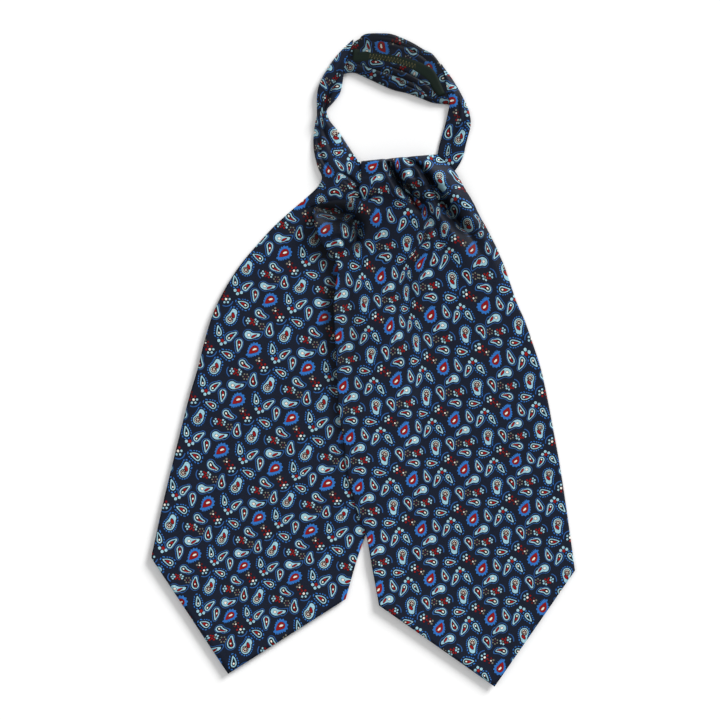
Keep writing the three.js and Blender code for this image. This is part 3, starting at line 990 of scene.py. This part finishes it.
UPPER_FOLDS = [
    # The gather from the left notch of the top edge.
    [(17.5, 167, 7, 1.8, 2, 20), (18.6, 160, 8, 2, 2.4, 20), (20.7, 155, 9, 2.2, 2.6, 20),
     (24, 149, 10.5, 2.8, 2.8, 19), (30, 139.5, 11, 3.4, 2.6, 16), (37.5, 132.5, 10.5, 4, 2, 13),
     (44, 125, 8.5, 4.6, 1.4, 10), (47.5, 116, 4.5, 6, 0.8, 9), (44, 102, 3, 8, 0.6, 12),
     (38, 80, 1.8, 9, 0.8, 14), (35, 52, 1.6, 9, 0.8, 12), (40, 22, 1, 9, 0.6, 8),
     (43, 0, 0.6, 10, 0.3, 6), (45, -30, 0, 10, 0, 2)],
    # The gather from the right notch, with the high ridge that runs down the right side.
    [(33, 164, 3, 1.6, 1), (38, 158.5, 6, 1.8, 2), (43, 155.5, 7, 2, 3, -2), (47, 152, 8, 2.2, 3.4, -3),
     (51, 145, 9, 2.6, 3.8, -4), (56, 137.5, 10.5, 3.4, 4, -7), (61.5, 129, 11, 4.2, 4, -10),
     (68.5, 119, 10.5, 4.6, 3.6, -12), (77, 108, 8.5, 4.8, 3, -10), (86, 98.5, 5, 6, 2, -6),
     (97, 80, 1.8, 9, 0.8), (104, 57, 0, 10)],
    # A shallow one between them.
    [(33, 168, 2.4, 1.6, 0.8), (36, 157, 2.4, 2, 0.8), (42, 146, 2, 3, 1), (49, 132, 1.4, 4, 0.8),
     (54, 118, 0, 4)],
    # Two short creases that run down from under the gathers.
    [(50, 124, 0, 3, 0, 2), (54, 113, 2, 3, 1, 3), (60, 100, 2, 3.4, 1, 3), (64, 86, 1, 4, 0.6, 2),
     (66, 70, 0, 5)],
    [(27, 122, 0, 5), (18, 108, 1.6, 5, 0.8), (12, 90, 1.6, 6, 0.8), (8, 66, 0, 7)],
    # The hollow inside the turned-up rim, and the pinch at its lower end.
    [(-41, 124, 5, 5), (-33, 120, 9, 6, 0.4, 3), (-24, 116.5, 12, 7, 1, 5), (-14, 114, 13, 7, 2.4, 6),
     (-6.5, 107, 12, 6, 3, 6), (-6, 97, 8, 5, 2.4, 5), (-10, 88, 4, 4.4, 1, 2), (-15, 79, 1, 4, 0.4),
     (-17, 70, 0, 5)],
    [(-21, 100, 0, 1.6), (-17, 95, 2, 1.4, 1.2, 2), (-14.5, 90, 2, 1.6, 1.2, 2), (-13, 84, 0, 2)],
    # The long soft fold along the left edge.
    [(-16, 72, 0, 7), (-12, 52, 2, 7), (-10, 28, 2.6, 8), (-8, -10, 1.6, 9), (-4, -50, 0, 10)],
]

# Where the print is pulled off its lattice: x y and how far, in millimetres.
UPPER_DRIFT = [
    (46, 80, 0, -5.6), (66, 94, 4.8, -6.4), (-7, 128, -5.6, -11.2), (-9, 107, -8.8, -9.6),
    (-36, 102, -5.6, -8), (-22, 91, -8, -9.6), (-18, 64, -7.2, -8.8), (6, 101, -4, -8.8),
    (23, 101, -2.4, -7.2), (41, 101, -1.6, -4.8), (23, 83, 0, -5.6), (62, 83, 3.2, -5.6),
    (78, 80, 6.4, -7.2), (98, 78, 6.4, -7.2), (23, 66, 3.2, -4.8), (58, 66, 2.4, -6.4),
    (6, 48, -2.4, -3.2), (-12, 48, -4.8, -5.6), (23, 48, 4, -4), (58, 48, 0.8, -6.4), (86, 48, 4, -4.8),
    (111, 48, 3.2, -3.2), (6, 24, -1.6, -1.6), (41, 27, 1.6, -4.8), (58, 24, 0.8, -4.8),
    (86, 24, 2.4, -3.2), (111, 24, 2.4, -0.8), (-12, 13, -3.2, -4), (-12, -22, 0, -4), (58, -5, 0, -2.4),
    (94, -5, 1.6, 0), (129, -22, 0.8, 3.2), (129, -56, 0, 3.2), (-12, -64, 1.6, -2.4),
    (-9, -96, 1.6, -2.4), (23, -22, 0, 0), (58, -48, 0, 0), (94, -56, 0, 0), (33, -88, 0, 0),
    (74, -96, 0, 0), (116, -104, 0, 0),
]

# Motifs pinned near the gathers: x y, column and row of the lattice, turn in degrees clockwise, and how
# narrow the motif looks there.
KNOT_PINS = {
    "burst": [
        (10.1, 112, 1, -5, 0, 1), (6.6, 153.1, 1, -6, 30, 1), (49.5, 117.2, 0, -5, -12, 0.55),
        (26.5, 153.4, 0, -6, -15, 0.55), (86.6, 87.4, -1, -4, 0, 1),
    ],
    "upright bean": [
        (19, 152.9, 0, -6, 8, 1), (22.5, 112.2, 0, -5, 0, 1), (37.8, 156.9, -1, -6, -38, 1),
        (54.2, 119.6, -1, -5, 0, 0.55),
    ],
    "crescent": [
        (13.2, 145.2, 1, -6, 8, 1), (36.6, 148.6, 0, -6, -10, 1), (54.7, 109.2, 0, -5, 0, 0.85),
        (17, 100.6, 1, -5, 0, 1),
    ],
    "tall bean": [(0.4, 135.4, 1, -6, 18, 1), (46.1, 98.3, 0, -5, 0, 0.9)],
    "right berries": [
        (14.6, 134.9, 1, -6, 0, 1), (40.2, 138.7, 0, -6, -5, 1), (52.6, 99.3, 0, -5, 0, 0.85),
        (19.5, 90.2, 1, -5, 0, 1),
    ],
    "kidney": [
        (28.6, 134, 0, -6, -15, 0.75), (60.6, 146.1, -1, -6, -18, 1), (65, 105.7, -1, -5, 0, 0.9),
        (83.2, 109.7, -1, -5, -35, 1), (35.1, 95.2, 0, -5, 0, 1),
    ],
    "slanted bean": [(12.6, 127, 1, -6, 8, 1), (43.9, 131.4, 0, -6, 0, 0.45), (51.2, 91.4, 0, -5, 0, 0.9)],
    "haloed drop": [(27.4, 124.6, 0, -5, 25, 1), (52.6, 131, -1, -5, -10, 1), (59.8, 91.4, -1, -4, 0, 1)],
    "crown": [(35.9, 117.2, 0, -5, 0, 1), (73.5, 128.6, -1, -5, -20, 1), (69, 86.3, -1, -4, 0, 1)],
    "leaning bean": [
        (31.9, 109.8, 0, -5, 0, 1), (51.4, 156.6, -1, -6, 0, 1), (60, 119, -1, -5, 0, 0.6),
        (72.4, 120.6, -1, -5, -40, 1),
    ],
    "dotted drop": [(40.6, 110.1, 0, -5, 0, 0.9), (60, 159.9, -1, -6, -40, 1), (81, 124, -1, -5, -35, 1)],
    "berry flower": [(73, 96.6, -1, -4, 0, 1)],
    "grey flower": [(79.8, 93.1, -1, -4, 0, 1)],
}

upper_lattice = Lattice(origin=(80.4, -87.6), across=(-41.4, -8.2), up=(7.2, -39.6))
upper_blade = add_cloth(
    "upper_blade", UPPER_BLADE, across=116, step=2.4, wall=BLADE_WALL, rest=upper_blade_rest,
    folds=UPPER_FOLDS, print_map=upper_lattice, drift=UPPER_DRIFT, pins=pins_on(upper_lattice, KNOT_PINS),
    fine_step=1.2, fine_rows=20,
)
upper_blade.data.materials.append(silk)
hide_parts("front_blade")
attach(upper_blade, "root")

# %% [markdown]
# ## The neck band
# The band is the same silk pressed into narrow pleats. It shows in three stretches: the left one from its
# corner fold down across the lower blade, the back one with its inner side up, and the right one that dives
# under the knot.

# %% Left stretch of the band
BAND_WALL = 1.8
BAND_REST = 2.0

LEFT_BAND = table_of("lx ly rx ry left mid right bow", [
    (-35.6, 219.2, -7.8, 256.3, -1.2, -0.8, -1.2, -3),
    (-36, 217.5, -8.5, 253.5, 1.4, 1.8, 1.4, -3),
    (-36.6, 213.5, -11.5, 245.5, 2.4, 3.2, 2.4, -2),
    (-37, 209.5, -15, 233.5, 2.4, 3.4, 2.4),
    (-37, 205, -16.5, 221, 1.6, 3.4, 2),
    (-37, 201, -19, 212, 1, 3.8, 1.5),
    (-37, 198.5, -24, 205.5, 1, 4.8, 1.5),
    (-37, 195, -29, 199.5, 1.4, 5.4, 2),
    (-38, 191, -27.6, 193, 1, 4.6, 1.2),
    (-39, 185, -20, 183, 0.4, 3, 0.6),
    (-39.8, 174.5, -12, 171, 0, 2.4, 1.4),
    (-38.8, 164, -5.5, 161, 0.2, 4.4, 4.5),
    (-36.5, 155, -1.8, 156.5, 0.2, 6.6, 7),
    (-33, 145.5, -0.5, 147, -0.2, 8.2, 8.6),
    (-36, 138.5, -0.5, 138.5, -1.2, 8.4, 9),
    (-42, 130.5, -3, 131, -1.4, 6.6, 8),
    (-46, 124, -5, 126.5, -1.5, 4.2, 6.4, -1.5),
    (-46.5, 121.5, -5.5, 125.6, -1.8, 2.2, 4.2, -1.5),
])
LEFT_FOLDS = [
    [(-37, 184, 0, 1.6), (-35, 168, 1.6, 1.4, 1, 2), (-31, 158, 2, 1.4, 1.2, 2), (-24, 149, 0.8, 1.6, 0.5),
     (-20, 142, 0, 1.6)],
    [(-22, 150, 0, 1.8), (-17, 148.5, 2, 1.5, 1, 3), (-11, 145.5, 2.8, 1.5, 1.4, 4),
     (-3, 138, 2.4, 1.5, 1, 3)],
    [(-20, 146, 0, 1.6), (-14, 143, 1.4, 1.3, 0.8, 2), (-5, 135, 1.4, 1.3, 0.8, 2)],
    [(-12, 246, 0, 1.8), (-20, 228, 1.6, 1.8, 0.8, 2), (-27, 212, 2.4, 1.6, 1, 3),
     (-31.5, 198, 2.8, 1.4, 1, 3), (-32, 186, 2, 1.6, 0.8, 2), (-28, 174, 1, 2, 0.4), (-22, 160, 0, 2)],
    [(-25, 222, 0, 1.6), (-31, 210, 1.5, 1.4, 0.7, 2), (-34.5, 199, 1.4, 1.2, 0.6, 2),
     (-35.5, 188, 0, 1.4)],
]

left_band = add_cloth(
    "left_band", LEFT_BAND, across=44, step=1.2, wall=BAND_WALL, rest=lambda x, y: BAND_REST,
    folds=LEFT_FOLDS, darkest_fold=3.5,
    print_map=Lattice(origin=(-27.7, 151.8), across=(-34.9, -23.8), up=(23.4, -33.4)),
)
left_band.data.materials.append(silk)
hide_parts("band_left")
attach(left_band, "root")

# %% Back stretch of the band
BACK_BAND = table_of("lx ly rx ry left mid right", [
    (-6.5, 254.5, -31, 221, -0.2, 0, -0.2),
    (-1.5, 257.5, -23.5, 224.5, -0.2, 0.1, -0.2),
    (1.5, 260.4, -15.7, 228.6, -0.2, 0.4),
    (8, 261.1, -7, 229.6, -0.2, 0.8, 0.2),
    (14.5, 261.1, 2, 225.8, -0.2, 1, 0.3),
    (21.5, 260.7, 12.5, 220.9, -0.2, 1, 0.3),
    (31, 257.4, 24.4, 215.8, -0.2, 1, 0.3),
    (40, 253.2, 35.5, 213.2, -0.2, 0.9, 0.2),
    (48, 248.4, 45, 209.8, -0.2, 0.7, 0.1),
    (55.6, 244.2, 56, 205.6, -0.2, 0.5),
    (60.5, 238, 64, 204.6, -0.2, 0.2, -0.2),
    (61.5, 236, 71, 203.8, -0.2, 0, -0.2),
    (62.4, 234, 77, 201.4, -0.2, 0, -0.2),
    (63.2, 232.5, 81.5, 199.6, -0.2, 0, -0.2),
])
BACK_FOLDS = [
    [(-8, 237, 0, 1.4), (2, 234.5, 1.2, 1.2, 0.5, 3), (14, 230.5, 1.6, 1.2, 0.6, 4),
     (28, 226, 1.7, 1.2, 0.6, 4), (40, 221, 1.4, 1.2, 0.6, 4), (50, 213, 0.8, 1.4, 0.4, 2),
     (58, 207, 0, 1.4)],
    [(18, 235.5, 0, 1.2), (28, 232, 1.2, 1, 0.4, 2), (40, 227, 1.4, 1, 0.5, 3), (52, 219, 1.4, 1, 0.4, 2),
     (60, 211, 1, 1.2, 0.2, 2), (66, 205, 0, 1.4)],
    [(20, 228, 0, 1.2), (30, 222, 0.9, 1, 0.4, 2), (42, 216, 0.9, 1, 0.4, 2), (52, 209, 0, 1.2)],
    [(0, 253, 0, 1.3), (14, 254.5, 0.7, 1.1, 0.4, 1), (30, 251, 0.7, 1.1, 0.4, 1),
     (46, 243, 0.7, 1.1, 0.4, 1), (57, 233, 0, 1.3)],
    [(8, 258, 0, 1.2), (24, 256.5, 0.6, 1, 0.3, 1), (40, 250, 0.6, 1, 0.3, 1), (52, 242, 0, 1.2)],
    [(-24, 228, 0, 1.4), (-14, 236, 1, 1.2, 0.5, 2), (-6, 246, 0.8, 1.2, 0.5, 2), (2, 252, 0, 1.2)],
]

back_band = add_cloth(
    "back_band", BACK_BAND, across=48, step=1.2, wall=BAND_WALL, rest=lambda x, y: BAND_REST,
    folds=BACK_FOLDS, darkest_fold=1.8,
    print_map=Lattice(origin=(15.4, 251.2), across=(16.8, 41.6), up=(-39.3, 14.9)),
)
# The back band takes the darker copy of the silk: painted shade.
back_band.data.materials.append(shaded_silk)
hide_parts("band_back")
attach(back_band, "root")

# %% Right stretch of the band
RIGHT_BAND = table_of("lx ly rx ry left mid right bow", [
    (62.2, 236.8, 85, 198.2, -1.2, -0.8, -1.2, -1.8),
    (62.5, 234.5, 85.2, 196.5, 1.4, 1.8, 1.4, -1.8),
    (63.8, 230.5, 85.8, 193, 2.4, 3.2, 2.4),
    (66.5, 219, 86, 189, 2.4, 3.4, 2.4),
    (69, 204.5, 85.3, 184, 2.4, 3.2, 1.4),
    (67.8, 198, 83.6, 177.5, 1.2, 2.4, 0.6),
    (66, 190, 81.8, 170.5, 0.4, 1.6, 0.2),
    (63.3, 180.5, 80.5, 164.5, 0, 1.2),
    (61.1, 172.5, 77.6, 157.5, 0, 0.8),
    (59.6, 165.3, 73, 151, 0, 0.2),
    (58, 158.5, 69, 147.5),
    (54, 151, 64, 143),
])
RIGHT_FOLDS = [
    [(72, 226, 0, 1.5), (76, 208, 0.9, 1.5, 0.5, 2), (75, 188, 1.1, 1.5, 0.6, 3),
     (68, 166, 0.9, 1.6, 0.4, 2), (62, 154, 0, 1.6)],
    [(79, 212, 0, 1.2), (81, 198, 0.6, 1.2, 0.3, 1), (79, 184, 0.6, 1.2, 0.3, 1), (75, 170, 0, 1.2)],
]

right_band = add_cloth(
    "right_band", RIGHT_BAND, across=36, step=1.2, wall=BAND_WALL, rest=lambda x, y: BAND_REST,
    folds=RIGHT_FOLDS, darkest_fold=2.5,
    print_map=Lattice(origin=(53.5, 168), across=(41, -18.5), up=(16.2, 38.7)),
)
right_band.data.materials.append(silk)
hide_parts("band_right")
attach(right_band, "root")

# %% [markdown]
# ## Inside the knot
# Under the rolled top of the upper blade lies a bundle of folded band. Little of it shows, so it is one
# soft mound with a few ridges, made from a sphere that is squashed flat underneath.

# %% Knot bundle
BUNDLE_RIDGES = 5
BUNDLE_RIDGE = 0.035
BUNDLE_SLANT = 0.3
BUNDLE_BOTTOM = -0.6
BUNDLE_WIDTH = 0.98
BUNDLE_HEIGHT = 0.75
BUNDLE_SINK = 1 * MM


def add_bundle():
    low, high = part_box("knot_core")
    centre, half = (Vector(low) + Vector(high)) / 2, (Vector(high) - Vector(low)) / 2
    bm = bmesh.new()
    bmesh.ops.create_uvsphere(bm, u_segments=72, v_segments=36, radius=1.0)
    uv_layer = bm.loops.layers.uv.new("print")
    for vert in bm.verts:
        x, y, z = vert.co
        ridge = 1 + BUNDLE_RIDGE * math.cos(BUNDLE_RIDGES * math.pi * (y + BUNDLE_SLANT * x))
        top = max(z, BUNDLE_BOTTOM) * ridge
        vert.co = Vector((
            centre.x + half.x * x * BUNDLE_WIDTH, centre.y + half.y * y * BUNDLE_WIDTH,
            centre.z - BUNDLE_SINK + half.z * top * BUNDLE_HEIGHT,
        ))
    for face in bm.faces:
        face.smooth = True
        for loop in face.loops:
            loop[uv_layer].uv = (loop.vert.co.x / REPEAT_ACROSS / MM, loop.vert.co.y / REPEAT_UP / MM)
    return add_mesh("knot_bundle", bm)


bundle = add_bundle()
# The bundle takes the darker copy of the silk: painted shade inside the knot.
bundle.data.materials.append(shaded_silk)
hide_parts("knot_core")
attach(bundle, "root")

# %% [markdown]
# ## The label strip
# A narrow woven strip is sewn to the inner side of the band at the back of the neck. Its ground is dark
# green satin. Here it carries only a plain wave in gold thread, woven along its middle.

# %% Label strip
LABEL = table_of("lx ly rx ry", [
    (-7.8, 248.6, -8.6, 237.4),
    (8, 247.7, 6.4, 237.4),
    (27, 245, 26, 234),
    (44.5, 239, 42.2, 229),
    (56, 232.5, 51.6, 222.5),
    (62, 221, 56.5, 215),
    (65.6, 212.5, 60.5, 210.5),
])

# The woven wave in centimetres, and how fast it swings along the strip.
WAVE_HEIGHT = 0.16
WAVE_CENTRE = -3.2
WAVE_REACH = 1.9
WAVE_RATE = 26.0
THREAD_WIDTH = 0.028
LABEL_WALL = 0.6
LABEL_ON_BAND = 2.2


def label_map(place):
    """Centimetres along and across the strip, from the middle of its left end."""
    best = None
    far = 0.0
    middles = [((r["lx"] + r["rx"]) / 2, (r["ly"] + r["ry"]) / 2) for r in LABEL]
    for (ax, ay), (bx, by) in zip(middles, middles[1:]):
        dx, dy = bx - ax, by - ay
        length = math.hypot(dx, dy)
        t = min(1.0, max(0.0, ((place[0] - ax) * dx + (place[1] - ay) * dy) / length**2))
        away = math.hypot(place[0] - ax - dx * t, place[1] - ay - dy * t)
        side = ((place[0] - ax) * -dy + (place[1] - ay) * dx) / length
        if best is None or away < best[0]:
            best = (away, side, far + t * length)
        far += length
    return (best[1] / 10, -best[2] / 10)


label = add_cloth(
    "label_strip", LABEL, across=8, step=1.4, wall=LABEL_WALL, rest=lambda x, y: BAND_REST + LABEL_ON_BAND,
    print_map=label_map,
)
label_material, label_shader = new_material("green satin", {"Roughness": 0.6, "Specular IOR Level": 0.12})
w = Wires(label_material.node_tree)
across, along, _ = w.parts(w.node("ShaderNodeUVMap", uv_map="print").outputs[0])
wave = w.times(w.math("SINE", w.times(along, WAVE_RATE)), WAVE_HEIGHT)
thread = w.math("COMPARE", across, wave, THREAD_WIDTH)
in_middle = w.math("COMPARE", along, WAVE_CENTRE, WAVE_REACH)
gold = w.times(thread, in_middle)
w.join(w.layer(gold, GREEN, GOLD), label_shader.inputs["Base Color"])
label.data.materials.append(label_material)
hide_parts("label")
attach(label, "root")
